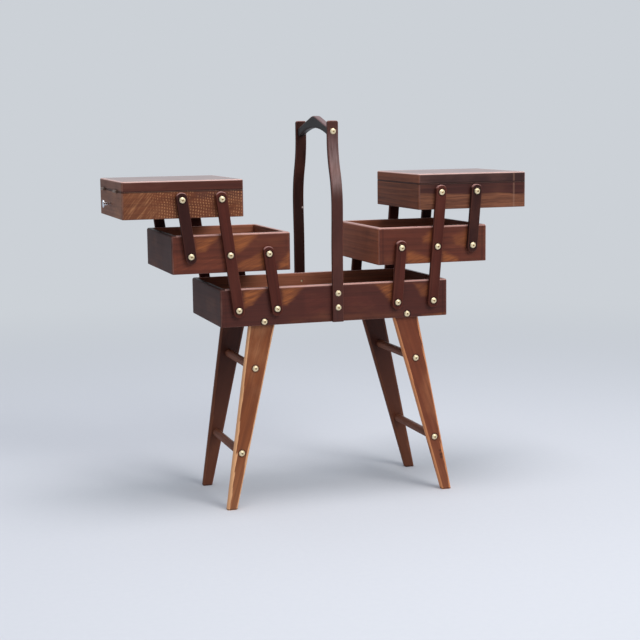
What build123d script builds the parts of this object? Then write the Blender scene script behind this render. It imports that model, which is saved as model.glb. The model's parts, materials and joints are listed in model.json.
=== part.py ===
from build123d import *
from math import acos, atan, atan2, cos, degrees, hypot, radians, sin
import os

os.makedirs("parts", exist_ok=True)

# A cantilever sewing box on legs. X runs along the box, Y from front to rear, Z up from the floor.
# The origin is on the floor, under the middle of the base box.
SIDES = {"left": -1, "right": 1}
FACES = {"front": -1, "rear": 1}

# Boards and panels of all the boxes
board = 9.0
panel = 4.0
panel_play = 0.1
groove = 4.0
corner_round = 4.5
rim_round = 4.0
edge_round = 1.2
seam_round = 0.6

# Base box
base_length = 430.0
base_depth = 218.0
base_height = 67.5
base_underside = 333.0
base_panel_rise = 13.0

# Trays and top boxes
tier_gap = 0.5
side_play = 0.5
middle_gap = 2.0
tray_height = 67.5
tray_panel_rise = 5.0
box_height = 47.0
seam = 0.3
lid_height = 17.7
lid_rebate = 4.5
lid_round = 3.0

# Arms and their pivots
arm_width = 19.5
arm_thickness = 9.0
arm_end = 13.0
arm_round = 1.8
arm_gap = 0.3
pivot_pitch = 99.0
arm_spacing = 70.0
pivot_inset = 31.0
base_pivot_rise = 29.5
pivot_step = 1.1

# How far the arms of each side lean outwards, in degrees, as the box stands half open
lean = {"left": 7.7, "right": 4.8}

# Screws
screw_radius = 2.2
screw_play = 0.05
head_radius = 5.3
head_rim = 0.8
head_height = 3.4
tip = 3.0
pivot_bite = 7.5
leg_bite = 12.0
end_bite = 22.0
tip_proud = 1.0
bore_spare = 0.5

# Legs and rungs
leg_thickness = 14.0
leg_round = 4.5
leg_top_width = 48.0
leg_foot_width = 19.0
leg_top_inset = 78.0
foot_spread = {"left": 61.5, "right": 81.5}
foot_chamfer = 1.0
leg_screw_rise = 6.5
rung_radius = 7.5
rung_heights = (255.0, 103.0)

# Handle
upright_width = 20.0
upright_thickness = 8.5
upright_round = 1.8
upright_corner = 4.0
upright_top = 691.0
bow_start = 455.0
bow_run = 85.0
bow_out = 2.5
neck_run = 120.0
neck_in = 22.5
handle_screw_rises = (26.0, 51.5)
grip_width = 13.0
grip_round = 3.0
grip_underside = 662.0
grip_end_depth = 16.0
grip_peak = 24.0
grip_peak_round = 58.0
grip_arch = 16.0
grip_screw_rise = 10.0

# Hinges of the lids
hinge_length = 28.0
hinge_spacing = 124.0
leaf = 1.0
leaf_reach = 6.5
leaf_play = 0.1
knuckle_radius = 2.3
knuckle_offset = 2.6
knuckle_gap = 0.2
hinge_pin = 1.0
hinge_play = 0.05

# Knobs
knob_rise = 23.5
knob_stem = 12.0
knob_stem_radius = 2.1
knob_neck_radius = 3.3
knob_head = 2.4
knob_head_radius = 6.75
knob_round = 0.9
knob_stud = 6.0

# Places that follow from these sizes
base_face = base_depth / 2
base_pivot_z = base_underside + base_pivot_rise
tray_depth = base_depth - 2 * side_play
tray_length = (base_length - middle_gap) / 2
hole = screw_radius + screw_play
arm_inside = base_face + arm_gap
arm_outside = arm_inside + arm_thickness
head_seat = arm_outside + arm_gap
pivot_screw = head_seat - base_face + pivot_bite
long_pivot = base_length / 2 - pivot_inset
closed_lean = acos((base_height + tier_gap + pivot_step) / pivot_pitch)
closed_run = pivot_pitch * sin(closed_lean)
leg_top_reach = base_length / 2 - leg_top_inset
foot_reach = {side: leg_top_reach + spread for side, spread in foot_spread.items()}
leg_face = base_face - board
leg_back = leg_face - leg_thickness
leg_top = base_underside + base_panel_rise - panel_play
leg_screw_z = base_underside + leg_screw_rise
upright_face = base_face + upright_thickness
grip_reach = base_face + bow_out - neck_in
grip_screw_z = grip_underside + grip_screw_rise
base_pivots = (long_pivot, long_pivot - arm_spacing)
hinge_places = (-hinge_spacing / 2, hinge_spacing / 2)


def save(piece, name):
    """Label a finished piece and write its STEP file."""
    piece.part.label = name
    export_step(piece.part, f"parts/{name}.step")


def drill(points, face, depth):
    """Bore screw holes along Y into the current piece, at points (x, z) of the plane y = face."""
    with BuildSketch(Plane.XZ.offset(-face)) as bores:
        with Locations(*points):
            Circle(hole)
    extrude(bores.sketch, amount=depth, both=True, mode=Mode.SUBTRACT)


def s_bend(start, heading, shift, run, beside=0.0):
    """Two arcs that move a line to the left of its heading by shift, over run.

    The arcs are alike on the line itself. A line that lies beside it, to the right, runs parallel.
    """
    turn = 2 * atan(abs(shift) / run)
    radius = run / (2 * sin(turn))
    way = 1 if shift > 0 else -1
    first = JernArc(start, heading, radius + way * beside, way * degrees(turn))
    return JernArc(first @ 1, first % 1, radius - way * beside, -way * degrees(turn))


def box_ring(middle, underside, length, depth, height, top_round, inner_round, bottom_round):
    """The four boards of a box as one ring, its corners and rims rounded, before it is parted."""
    with BuildPart() as ring:
        with BuildSketch(Plane.XY.offset(underside)):
            with Locations((middle, 0)):
                Rectangle(length, depth)
                Rectangle(length - 2 * board, depth - 2 * board, mode=Mode.SUBTRACT)
        extrude(amount=height)
        corners = ring.edges().filter_by(Axis.Z).sort_by(lambda e: abs(e.center().Y))[-4:]
        fillet(corners, corner_round)
        fillet(ring.faces().sort_by(Axis.Z)[-1].outer_wire().edges(), top_round)
        fillet(ring.faces().sort_by(Axis.Z)[-1].inner_wires()[0].edges(), inner_round)
        fillet(ring.faces().sort_by(Axis.Z)[0].outer_wire().edges(), bottom_round)
    return ring.part


def slotted(ring, middle, length, depth, bottom, height, reach):
    """The ring with a slot cut all round its inside, reach deep into each board."""
    with BuildPart() as cut:
        add(ring)
        with BuildSketch(Plane.XY.offset(bottom)):
            with Locations((middle, 0)):
                Rectangle(length - 2 * (board - reach), depth - 2 * (board - reach))
        extrude(amount=height, mode=Mode.SUBTRACT)
    return cut.part


def panel_plate(middle, length, depth, bottom, reach):
    """A flat panel that reaches into the boards all round."""
    with BuildPart() as plate:
        with BuildSketch(Plane.XY.offset(bottom)):
            with Locations((middle, 0)):
                Rectangle(length - 2 * (board - reach), depth - 2 * (board - reach))
        extrude(amount=panel)
    return plate


def end_board(ring, end, middle, length):
    """The board that closes one end of a ring and covers the ends of its long boards."""
    with BuildPart() as piece:
        add(ring)
        split(
            bisect_by=Plane.YZ.offset(middle + end * (length / 2 - board)),
            keep=Keep.TOP if end > 0 else Keep.BOTTOM,
        )
    return piece


def long_board(ring, face, middle, length, wall_face, bores):
    """The front or rear board of a ring, between the end boards. A bore is its points and depth."""
    with BuildPart() as piece:
        add(ring)
        split(bisect_by=Plane.YZ.offset(middle + length / 2 - board), keep=Keep.BOTTOM)
        split(bisect_by=Plane.YZ.offset(middle - length / 2 + board), keep=Keep.TOP)
        split(bisect_by=Plane.XZ, keep=Keep.TOP if face < 0 else Keep.BOTTOM)
        for points, depth in bores:
            drill(points, face * wall_face, depth)
    return piece


def screw(length):
    """A domed wood screw along Y: its seat at the origin, its head in front, its tip behind."""
    with BuildPart() as one:
        with BuildSketch(Plane.XY):
            with BuildLine():
                Polyline(
                    (0, length),
                    (screw_radius, length - tip),
                    (screw_radius, 0),
                    (head_radius, 0),
                    (head_radius, -head_rim),
                )
                TangentArc((0, -head_height), (head_radius, -head_rim), tangent=(1, 0))
                Line((0, -head_height), (0, length))
            make_face()
        revolve(axis=Axis.Y)
    return one.part


def screw_set(name, groups):
    """One node of screws. A group is a screw's length and the places (x, y, z) of the seats."""
    with BuildPart() as screws:
        for length, places in groups:
            one = screw(length)
            for x, y, z in places:
                with Locations(Location((x, y, z), (0, 0, 0 if y < 0 else 180))):
                    add(one)
    save(screws, name)


def both_faces(points, y):
    """Places at points (x, z) on the planes y and -y."""
    return [(x, face * y, z) for x, z in points for face in FACES.values()]


def arm(name, pivots, face):
    """A wooden arm beside the boxes, with rounded ends and a hole at each pivot (x, z)."""
    (x1, z1), (x2, z2) = pivots[0], pivots[-1]
    slope = degrees(atan2(z2 - z1, x2 - x1))
    span = hypot(x2 - x1, z2 - z1) + 2 * arm_end - arm_width
    with BuildPart() as piece:
        with BuildSketch(Plane.XZ.offset(-face * (arm_inside + arm_thickness / 2))):
            with Locations(((x1 + x2) / 2, (z1 + z2) / 2)):
                SlotCenterToCenter(span, arm_width, rotation=slope)
            with Locations(*pivots):
                Circle(hole, mode=Mode.SUBTRACT)
        extrude(amount=arm_thickness / 2, both=True)
        fillet([e for f in piece.faces().filter_by(Axis.Y) for e in f.outer_wire().edges()], arm_round)
    save(piece, name)


def leg_middle(side, height):
    """X of a leg's centre line at a height: it runs straight from the base box to the foot."""
    share = (base_underside - height) / base_underside
    return SIDES[side] * (leg_top_reach + share * (foot_reach[side] - leg_top_reach))


def leg_width(height):
    """Width of a leg at a height, tapering down to its foot."""
    return leg_foot_width + height / base_underside * (leg_top_width - leg_foot_width)


def leg(side, face):
    """A splayed, tapered leg inside the base box's long board, screwed to the board and the rungs."""
    corners = ((-1, 0), (1, 0), (1, leg_top), (-1, leg_top))
    outline = [(leg_middle(side, z) + edge * leg_width(z) / 2, z) for edge, z in corners]
    y = FACES[face] * leg_face
    with BuildPart() as piece:
        with BuildSketch(Plane.XZ.offset(-y)):
            with BuildLine():
                Polyline(*outline, close=True)
            make_face()
        extrude(amount=FACES[face] * leg_thickness)
        fillet(piece.edges().filter_by(lambda e: e.length > base_underside / 2), leg_round)
        chamfer(piece.faces().sort_by(Axis.Z)[0].outer_wire().edges(), foot_chamfer)
        drill([(leg_middle(side, leg_screw_z), leg_screw_z)], y, leg_bite + bore_spare)
        drill([(leg_middle(side, z), z) for z in rung_heights], y, leg_thickness + bore_spare)
    save(piece, f"{face}_{side}_leg")


def rungs():
    """The round rungs that tie each front leg to the rear leg behind it."""
    with BuildPart() as piece:
        for side in SIDES:
            places = [(leg_middle(side, z), z) for z in rung_heights]
            with BuildSketch(Plane.XZ):
                with Locations(*places):
                    Circle(rung_radius)
            extrude(amount=leg_back, both=True)
            for face in FACES.values():
                drill(places, face * leg_back, end_bite + bore_spare)
    save(piece, "rungs")


def upright(name, face):
    """A handle upright: a strip screwed to the base box, bowed out a little, then drawn in to the grip."""
    with BuildPart() as piece:
        with BuildSketch(Plane.YZ):
            with BuildLine():
                tops = []
                for beside in (0.0, upright_thickness):
                    y = face * (base_face + beside)
                    foot = Line((y, base_underside), (y, bow_start))
                    bow = s_bend(foot @ 1, (0, 1), -face * bow_out, bow_run, face * beside)
                    neck = s_bend(bow @ 1, (0, 1), face * neck_in, neck_run, face * beside)
                    head = Line(neck @ 1, ((neck @ 1).X, upright_top))
                    tops.append(head @ 1)
                Line((face * base_face, base_underside), (face * upright_face, base_underside))
                Line(*tops)
            make_face()
        extrude(amount=upright_width / 2, both=True)
        fillet(piece.edges().filter_by(Axis.Y).group_by(Axis.Z)[-1], upright_corner)
        long_edges = piece.edges().filter_by(
            lambda e: abs(e.center().X) > upright_width / 2 - screw_play and e.length > neck_run / 4
        )
        fillet(long_edges, upright_round)
        depth = upright_thickness + bore_spare
        drill([(0, base_underside + rise) for rise in handle_screw_rises], face * base_face, depth)
        drill([(0, grip_screw_z)], face * grip_reach, depth)
    save(piece, name)


def grip():
    """The carved grip between the uprights: gabled to a rounded crown above, arched below."""
    with BuildPart() as piece:
        with BuildSketch(Plane.YZ) as outline:
            top = grip_underside + grip_end_depth
            heels = [(way * grip_reach, grip_underside) for way in (-1, 1)]
            with BuildLine():
                ThreePointArc(heels[0], (0, grip_underside + grip_arch), heels[1])
                Polyline(heels[1], (grip_reach, top), (0, top + grip_peak), (-grip_reach, top), heels[0])
            make_face()
            fillet(outline.vertices().sort_by(Axis.Y)[-1], grip_peak_round)
        extrude(amount=grip_width / 2, both=True)
        long_edges = piece.edges().filter_by(
            lambda e: abs(e.center().X) > grip_width / 2 - screw_play
            and abs(e.center().Y) < grip_reach - screw_play
        )
        fillet(long_edges, grip_round)
        for face in FACES.values():
            drill([(0, grip_screw_z)], face * grip_reach, end_bite + bore_spare)
    save(piece, "handle_grip")


def base_box():
    """The base box: four boards and a panel set well up inside them, over the tops of the legs."""
    bottom = base_underside + base_panel_rise
    plan = (0, base_length, base_depth)
    rounds = (rim_round, edge_round, edge_round)
    ring = box_ring(0, base_underside, base_length, base_depth, base_height, *rounds)
    ring = slotted(ring, *plan, bottom - panel_play, panel + 2 * panel_play, groove + panel_play)
    pivots = [(side * x, base_pivot_z) for side in SIDES.values() for x in base_pivots]
    through = [(leg_middle(side, leg_screw_z), leg_screw_z) for side in SIDES]
    through += [(0, base_underside + rise) for rise in handle_screw_rises]
    bores = ((pivots, pivot_bite + bore_spare), (through, board + bore_spare))
    for name, face in FACES.items():
        save(long_board(ring, face, 0, base_length, base_face, bores), f"base_{name}_board")
    for name, end in SIDES.items():
        save(end_board(ring, end, 0, base_length), f"base_{name}_board")
    save(panel_plate(*plan, bottom, groove), "base_panel")


def base_screws():
    """The screws of the base box, the stand and the handle."""
    pivots = [(side * x, base_pivot_z) for side in SIDES.values() for x in base_pivots]
    legs = [(leg_middle(side, leg_screw_z), leg_screw_z) for side in SIDES]
    rung_ends = [(leg_middle(side, z), z) for side in SIDES for z in rung_heights]
    feet = [(0, base_underside + rise) for rise in handle_screw_rises]
    groups = (
        (pivot_screw, both_faces(pivots, head_seat)),
        (board + leg_bite, both_faces(legs, base_face)),
        (leg_thickness + end_bite, both_faces(rung_ends, leg_face)),
        (upright_thickness + board + tip_proud, both_faces(feet, upright_face)),
        (upright_thickness + end_bite, both_faces([(0, grip_screw_z)], grip_reach + upright_thickness)),
    )
    screw_set("base_screws", groups)


def leaf_beds(end_x, side, bottom):
    """Beds for the two hinge leaves, cut into the current board from its outer face at end_x."""
    with BuildSketch(Plane.XY.offset(bottom)) as beds:
        with Locations(*[(end_x - side * leaf_play / 2, y) for y in hinge_places]):
            Rectangle(2 * leaf_reach + leaf_play, hinge_length + 2 * leaf_play)
    extrude(beds.sketch, amount=leaf, mode=Mode.SUBTRACT)


def hinge_leaves(name, end_x, side, bottom, pin_z, knuckles, pinned):
    """The leaves of both hinges on one part, with knuckles (offset, length) and perhaps the pins."""
    pin_x = end_x + side * knuckle_offset
    with BuildPart() as piece:
        for y in hinge_places:
            with BuildSketch(Plane.XY.offset(bottom)):
                with Locations((end_x - side * leaf_reach / 2, y)):
                    Rectangle(leaf_reach, hinge_length)
                for along, length in knuckles:
                    with Locations((end_x + side * knuckle_offset / 2, y + along)):
                        Rectangle(knuckle_offset, length)
            extrude(amount=leaf)
            for along, length in knuckles:
                with BuildSketch(Plane.XZ.offset(-y - along)):
                    with Locations((pin_x, pin_z)):
                        Circle(knuckle_radius)
                extrude(amount=length / 2, both=True)
            with BuildSketch(Plane.XZ.offset(-y)):
                with Locations((pin_x, pin_z)):
                    Circle(hinge_pin if pinned else hinge_pin + hinge_play)
            extrude(
                amount=hinge_length / 2, both=True, mode=Mode.ADD if pinned else Mode.SUBTRACT
            )
    save(piece, name)


def knob(name, end_x, side, z):
    """A turned pull knob: a stud in the board, a stem that widens outwards and a flat round head."""
    outline = (
        (-knob_stud, 0),
        (-knob_stud, knob_stem_radius),
        (0, knob_stem_radius),
        (knob_stem, knob_neck_radius),
        (knob_stem, knob_head_radius),
        (knob_stem + knob_head, knob_head_radius),
        (knob_stem + knob_head, 0),
    )
    with BuildPart() as piece:
        with BuildSketch(Plane(origin=(end_x, 0, z), x_dir=(side, 0, 0), z_dir=(0, -side, 0))) as half:
            with BuildLine():
                Polyline(*outline, close=True)
            make_face()
            fillet(half.vertices().filter_by(lambda v: v.Y > knob_head_radius - knob_round), knob_round)
        revolve(axis=Axis((end_x, 0, z), (side, 0, 0)))
    save(piece, name)


def tray(side_name, inner_x, underside, pivots):
    """A middle tray: an open box on the arms."""
    side = SIDES[side_name]
    middle = inner_x + side * tray_length / 2
    plan = (middle, tray_length, tray_depth)
    bottom = underside + tray_panel_rise
    ring = box_ring(
        middle, underside, tray_length, tray_depth, tray_height, rim_round, edge_round, edge_round
    )
    ring = slotted(ring, *plan, bottom - panel_play, panel + 2 * panel_play, groove + panel_play)
    bores = ((pivots, pivot_bite + bore_spare),)
    for name, face in FACES.items():
        board_piece = long_board(ring, face, middle, tray_length, tray_depth / 2, bores)
        save(board_piece, f"{side_name}_tray_{name}_board")
    save(end_board(ring, side, middle, tray_length), f"{side_name}_tray_outer_board")
    save(end_board(ring, -side, middle, tray_length), f"{side_name}_tray_inner_board")
    save(panel_plate(*plan, bottom, groove), f"{side_name}_tray_panel")
    screws = ((pivot_screw + side_play, both_faces(pivots, head_seat)),)
    screw_set(f"{side_name}_tray_screws", screws)


def top_box(side_name, inner_x, underside, pivots):
    """A top box: five sides on the arms, a pull knob, and beds for the hinges of its lid."""
    side = SIDES[side_name]
    middle = inner_x + side * tray_length / 2
    end_x = inner_x + side * tray_length
    plan = (middle, tray_length, tray_depth)
    bottom = underside + tray_panel_rise
    ring = box_ring(
        middle, underside, tray_length, tray_depth, box_height, seam_round, seam_round, edge_round
    )
    ring = slotted(ring, *plan, bottom - panel_play, panel + 2 * panel_play, groove + panel_play)
    bores = ((pivots, pivot_bite + bore_spare),)
    for name, face in FACES.items():
        board_piece = long_board(ring, face, middle, tray_length, tray_depth / 2, bores)
        save(board_piece, f"{side_name}_box_{name}_board")
    with BuildPart() as outer:
        add(end_board(ring, side, middle, tray_length).part)
        leaf_beds(end_x, side, underside + box_height - leaf)
        with BuildSketch(Plane.YZ.offset(end_x)):
            with Locations((0, underside + knob_rise)):
                Circle(knob_stem_radius + screw_play)
        extrude(amount=knob_stud + bore_spare, both=True, mode=Mode.SUBTRACT)
    save(outer, f"{side_name}_box_outer_board")
    save(end_board(ring, -side, middle, tray_length), f"{side_name}_box_inner_board")
    save(panel_plate(*plan, bottom, groove), f"{side_name}_box_panel")
    knob(f"{side_name}_knob", end_x, side, underside + knob_rise)
    screws = ((pivot_screw + side_play, both_faces(pivots, head_seat)),)
    screw_set(f"{side_name}_box_screws", screws)


def lid(side_name, inner_x, underside):
    """The lid of a top box: four rails round a panel let in flush, hinged at the outer end."""
    side = SIDES[side_name]
    middle = inner_x + side * tray_length / 2
    end_x = inner_x + side * tray_length
    plan = (middle, tray_length, tray_depth)
    rebate = board - lid_rebate
    bottom = underside + lid_height - panel
    ring = box_ring(
        middle, underside, tray_length, tray_depth, lid_height, lid_round, seam_round, seam_round
    )
    ring = slotted(ring, *plan, bottom, panel + bore_spare, rebate)
    with BuildPart() as outer:
        add(end_board(ring, side, middle, tray_length).part)
        leaf_beds(end_x, side, underside)
    rails = [outer.part, end_board(ring, -side, middle, tray_length).part]
    rails += [long_board(ring, face, middle, tray_length, 0, ()).part for face in FACES.values()]
    rail_set = Compound(label=f"{side_name}_lid_rails", children=[r.solid() for r in rails])
    export_step(rail_set, f"parts/{side_name}_lid_rails.step")
    plate = panel_plate(*plan, bottom, rebate - panel_play)
    with BuildPart() as top:
        add(plate.part)
        fillet(top.faces().sort_by(Axis.Z)[-1].edges(), seam_round)
    save(top, f"{side_name}_lid_panel")


def open_side(side_name):
    """The arms, tray and lidded box of one side, at the lean at which they stand."""
    side = SIDES[side_name]
    angle = radians(lean[side_name])
    step = (side * pivot_pitch * sin(angle), pivot_pitch * cos(angle))
    low, low_in = [(side * x, base_pivot_z) for x in base_pivots]
    mid, mid_in = [(x + step[0], z + step[1]) for x, z in (low, low_in)]
    top = (mid[0] + step[0], mid[1] + step[1])
    mid_out, top_out = [(x + side * arm_spacing, z) for x, z in (mid, top)]
    for face_name, face in FACES.items():
        name = f"{side_name}_{face_name}"
        arm(f"{name}_long_arm", (low, mid, top), face)
        arm(f"{name}_lower_arm", (low_in, mid_in), face)
        arm(f"{name}_upper_arm", (mid_out, top_out), face)
    tray_inner = mid[0] - side * (long_pivot - closed_run - middle_gap / 2)
    tray_underside = mid[1] - base_pivot_rise - pivot_step
    tray(side_name, tray_inner, tray_underside, (mid, mid_in, mid_out))
    box_inner = top[0] - side * (long_pivot - 2 * closed_run - middle_gap / 2)
    box_underside = top[1] - base_pivot_rise - 2 * pivot_step
    top_box(side_name, box_inner, box_underside, (top, top_out))
    lid_underside = box_underside + box_height + seam
    lid(side_name, box_inner, lid_underside)
    end_x = box_inner + side * tray_length
    pin_z = lid_underside - seam / 2
    third = hinge_length / 3
    box_knuckle = third - knuckle_gap / 2
    box_knuckles = [(way * (hinge_length - box_knuckle) / 2, box_knuckle) for way in (-1, 1)]
    lid_knuckles = [(0, third - knuckle_gap)]
    box_bottom = lid_underside - seam - leaf
    name = f"{side_name}_box_hinge_leaves"
    hinge_leaves(name, end_x, side, box_bottom, pin_z, box_knuckles, pinned=False)
    name = f"{side_name}_lid_hinge_leaves"
    hinge_leaves(name, end_x, side, lid_underside, pin_z, lid_knuckles, pinned=True)


base_box()
base_screws()
for side_name in SIDES:
    for face_name in FACES:
        leg(side_name, face_name)
    open_side(side_name)
rungs()
for face_name, face_sign in FACES.items():
    upright(f"handle_{face_name}_upright", face_sign)
grip()
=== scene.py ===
import functools
import json
import math

import bmesh
import bpy
from mathutils import Matrix, Vector

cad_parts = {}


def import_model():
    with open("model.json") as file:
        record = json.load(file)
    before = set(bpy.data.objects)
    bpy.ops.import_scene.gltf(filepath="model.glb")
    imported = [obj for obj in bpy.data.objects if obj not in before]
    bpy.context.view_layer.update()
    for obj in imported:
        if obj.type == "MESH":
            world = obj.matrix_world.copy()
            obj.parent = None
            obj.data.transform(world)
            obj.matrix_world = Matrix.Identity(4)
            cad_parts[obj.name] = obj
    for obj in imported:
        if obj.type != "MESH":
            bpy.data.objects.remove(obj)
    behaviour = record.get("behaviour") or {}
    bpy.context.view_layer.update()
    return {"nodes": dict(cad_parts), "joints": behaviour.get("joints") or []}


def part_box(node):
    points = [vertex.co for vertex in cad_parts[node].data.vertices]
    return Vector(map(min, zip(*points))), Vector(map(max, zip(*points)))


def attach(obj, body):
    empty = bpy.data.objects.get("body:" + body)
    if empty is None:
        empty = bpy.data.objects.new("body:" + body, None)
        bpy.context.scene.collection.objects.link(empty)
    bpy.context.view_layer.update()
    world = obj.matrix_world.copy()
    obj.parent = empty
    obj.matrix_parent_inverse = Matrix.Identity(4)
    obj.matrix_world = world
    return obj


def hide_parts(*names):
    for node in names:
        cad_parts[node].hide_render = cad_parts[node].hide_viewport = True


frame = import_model()
nodes = frame["nodes"]
joints = {joint["name"]: joint for joint in frame["joints"]}

# The object's sides and faces, as the CAD names them; a side also says which way it lies along X
SIDES = {"left": -1, "right": 1}
FACES = ("front", "rear")

# The left and the right end board of the boxes on each side
END_BOARDS = {"left": ("outer", "inner"), "right": ("inner", "outer")}

# The photograph's camera, worked out from the object's corners and screws, in metres and degrees
CAMERA_PLACE = (-0.8136, -2.4883, 0.6878)
CAMERA_YAW = -18.177
CAMERA_PITCH = -7.973
CAMERA_ROLL = 0.698
FOCAL_PIXELS = 1410.4
IMAGE_PIXELS = 640.0
SENSOR_MM = 36.0

# The point that the lights aim at, the floor's size, and how far off it starts and ends to fade
LIGHT_TARGET = (0.0, 0.0, 0.4)
FLOOR_SIZE = 30.0
FLOOR_FADE = (0.5, 3.0)

# The room that gloss shows: the way to its bright side, where it turns, and its dimmest share
BRIGHT_SIDE = (0.0, 0.8, 0.6)
ROOM_TURN = (-0.8, 0.4)
ROOM_DIM = 0.25

# How strong the sky's light is
SKY_STRENGTH = 0.65

# Screws: the domed head with its rim, the shank and tip, and the ring of painted shade about the head
HEAD_HEIGHT = 0.0034
HEAD_RIM = 0.0008
HEAD_EDGE = 0.00025
SHANK_RADIUS = 0.0022
TIP_LENGTH = 0.003
SHADE_RING_WIDTH = 0.0008
DOME_STEPS = 7
ROUND_STEPS = 40

# Edges that turn further than this stay sharp, in degrees
SHARP_ANGLE = 35

# Vertices nearer than this are one, and a radius below it is none
TINY = 1e-6

# The cross recess in a head, and the cutter that makes it from just in front of the head
RECESS_HALF_WIDTH = 0.0008
RECESS_HALF_LENGTH = 0.0027
RECESS_REACH = 0.003
RECESS_PLAY = 0.0001
CUTTER_DEPTH = 0.0024
CUTTER_LEAD = 0.0004
CUTTER_TAPER = 0.45

# The first screw's turn about its axis, and how much further each next one is turned, in degrees
FIRST_SPIN = 20
SPIN_STEP = 137.5

# The scales of the wood's figure, along the grain and twice across it: the larger, the finer
FIBRES = (26.0, 900.0, 900.0)
STREAKS = (6.0, 210.0, 210.0)
RINGS = (2.6, 30.0, 30.0)
CLOUDS = (8.0, 20.0, 20.0)
CLOUDS_SHIFT = (3.1, 1.7, 0.4)
SOIL_CLOUDS = 12.0
PATCH_STREAKS = (26.0, 60.0, 420.0)

# The scales of the metal's dull clouds and fine scratches, and of the floor's grit
METAL_CLOUDS = 260.0
METAL_SCRATCHES = (900.0, 900.0, 2600.0)
FLOOR_GRIT = 90.0

# How deep the bumps of the grain, the scratches and the grit are
GRAIN_RELIEF = 0.00018
SCRATCH_RELIEF = 0.00006
GRIT_RELIEF = 0.0008

# How far the borders of patches and worn strips wander at most, and the border of a leg's fading
BORDER_WANDER = 0.012
FADE_WANDER = 0.1

# How dark pores and soil are, how much duller worn edges, soil and side faces are, and the varnish
PORE_SHARE = 0.22
SOIL_SHARE = 0.25
EDGE_DULLNESS = 0.06
SOIL_DULLNESS = 0.14
SIDE_DULLNESS = 0.2
COAT_ROUGHNESS = 0.25

# Past which part of its normal a face looks to a side, down or to the front, and how far from a box's
# middle a face that looks into the box stands at least
SIDE_FACING = 0.6
DOWN_FACING = -0.3
FRONT_FACING = -0.3
INNER_DEPTH = 0.01

# How far from its middle a thin line on the wood starts and ends to fade
LINE_BORDERS = (0.0010, 0.0022)

# The hatching on the left box's front: radians in a metre of its columns and rows, how much the rows
# fall to the right, and how many radians both wander
HATCH_COLUMNS = 1370.0
HATCH_ROWS = 1250.0
HATCH_FALL = 240.0
COLUMN_WANDER = 12.0
ROW_WANDER = 7.0

# The scales of the noises that move, thin out and streak the hatching, the slant of the last two, and
# the X at which streaks give way to ticks, over a soft border
HATCH_MOVES = (30.0, 30.0, 60.0)
HATCH_SPREAD = (14.0, 60.0, 60.0)
HATCH_STREAKS = (34.0, 420.0, 420.0)
HATCH_SLANT = (0.0, 0.9, 0.0)
HATCH_START = -0.325
HATCH_BORDER = 0.02

# The first input of a Mix node for each kind of data, and its output
MIX_SOCKETS = {"FLOAT": (2, 0), "VECTOR": (4, 1), "RGBA": (6, 2)}


def srgb(red, green, blue):
    """A colour given on the usual 0 to 255 scale, as linear red, green, blue and alpha."""
    def linear(value):
        share = value / 255
        return share / 12.92 if share <= 0.04045 else ((share + 0.055) / 1.055) ** 2.4
    return (linear(red), linear(green), linear(blue), 1.0)


def direction_turn(run, rise):
    """The rotation that brings a direction in the XZ plane to X."""
    return (0.0, math.atan2(rise, run), 0.0)


ALONG_Y = (0.0, 0.0, -math.pi / 2)
ALONG_Z = direction_turn(0.0, 1.0)

# The backdrop, the floor's two tones and the sky's light
BACKGROUND = srgb(204, 209, 215)
FLOOR = (srgb(210, 213, 219), srgb(198, 202, 210))
SKY = (0.88, 0.93, 1.0, 1.0)

# Colours of the stained wood, from the photograph
DEEP = srgb(44, 20, 16)
# The darkest tone: painted shade about screws and in the lids' seams, and dark marks at the legs' feet
DARK_MARK = srgb(26, 14, 12)
WALL = srgb(79, 37, 29)
WALL_WORN = srgb(150, 92, 56)
# Painted sunlight, for the patches that fall between the shadows of the arms
PAINTED_SUNLIGHT = srgb(162, 94, 49)
END = srgb(70, 38, 31)
WARM_END = srgb(158, 86, 54)
# Faces that look into a box: pale, partly as bare inner wood and partly as painted light on the insides
INSIDE_WITH_PAINTED_LIGHT = srgb(166, 104, 78)
UNDERSIDE = srgb(118, 70, 52)
LINING = srgb(96, 56, 42)
LINING_WORN = srgb(130, 84, 60)
TRAY = srgb(96, 46, 32)
TRAY_FLANK = {"left": END, "right": WARM_END}
LID_TOP_DEEP = srgb(70, 40, 36)
# The lid tops' colours: the wood lightened towards pink, partly as a painted sheen of the varnish
LID_TOP_AND_SHEEN = {"left": srgb(142, 92, 80), "right": srgb(158, 110, 100)}
LID_TOP_WORN = srgb(160, 112, 94)
LID_RAILS = {"left": srgb(81, 38, 27), "right": srgb(55, 33, 31)}
LID_RAILS_WORN = srgb(150, 104, 88)
ARM = srgb(80, 37, 29)
ARM_WORN = srgb(116, 68, 54)
UPPER_ARM = {"left": srgb(54, 27, 24), "right": srgb(46, 25, 23)}
LEG_DEEP = srgb(72, 34, 22)
LEG = {"left": srgb(130, 71, 38), "right": srgb(116, 59, 36)}
LEG_WORN = {"left": srgb(222, 166, 120), "right": srgb(208, 138, 92)}
# The rear legs: darker copies of the legs' colours, as painted shade under the base
REAR_LEG_IN_SHADE = srgb(60, 28, 19)
REAR_LEG_WORN_IN_SHADE = srgb(138, 82, 54)
UPRIGHT = {"front": srgb(72, 34, 26), "rear": srgb(38, 16, 11)}
UPRIGHT_WORN = srgb(118, 72, 60)

# Worn edges, and rims that face up with painted highlights, each as its colour and share; the dark rim has
# no highlight
CORNER = (srgb(126, 88, 78), 0.5)
RIM_HIGHLIGHT = (srgb(190, 146, 136), 0.85)
DARK_RIM = (srgb(66, 40, 36), 0.9)
LID_RIM_HIGHLIGHT = (srgb(206, 172, 164), 0.9)
ARM_EDGE = (ARM_WORN, 0.3)
ARM_RIM_HIGHLIGHT = (srgb(176, 134, 128), 0.8)
UPRIGHT_HIGHLIGHT = (srgb(150, 104, 96), 0.6)
GRIP_HIGHLIGHT = (srgb(126, 92, 92), 0.7)

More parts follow.
